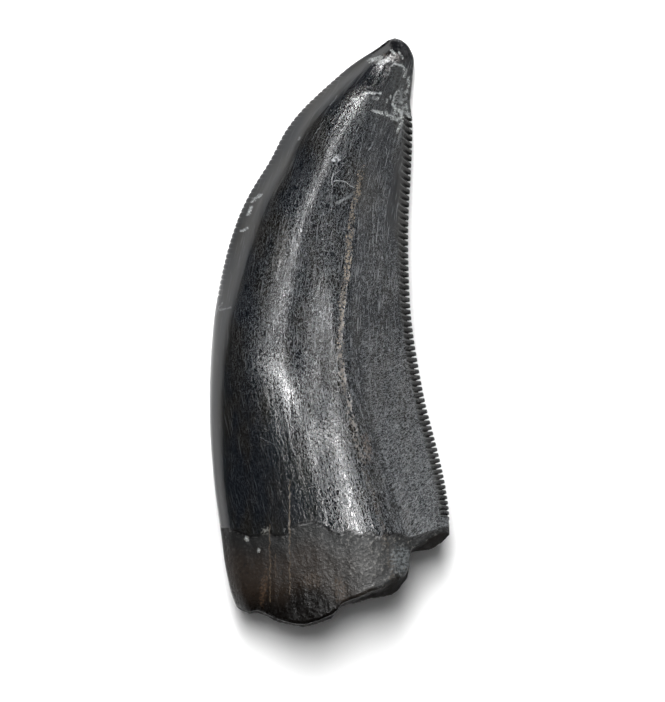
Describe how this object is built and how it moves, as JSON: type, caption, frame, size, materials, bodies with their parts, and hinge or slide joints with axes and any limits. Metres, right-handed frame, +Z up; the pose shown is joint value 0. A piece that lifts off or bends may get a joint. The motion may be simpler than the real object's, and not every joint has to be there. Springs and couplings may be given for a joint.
{
  "type": "theropod dinosaur tooth",
  "caption": "Recurved, saw-edged predator tooth crown in dark fossil enamel, with a short stub of broken root, lying on its side.",
  "frame": {"origin": "on the table, under the middle of the tooth's bounding box", "axes": "+Y from the broken root to the tip, +X towards the hollow rear edge, +Z up from the table through the face that the picture shows"},
  "size_m": [0.02, 0.049, 0.0101],
  "materials": {
    "fossil_enamel": "blue-black fossil enamel with a silky, finely grained shine, duller and browner on the short root"
  },
  "bodies": {
    "root": {"tooth": "fossil_enamel"}
  },
  "joints": []
}
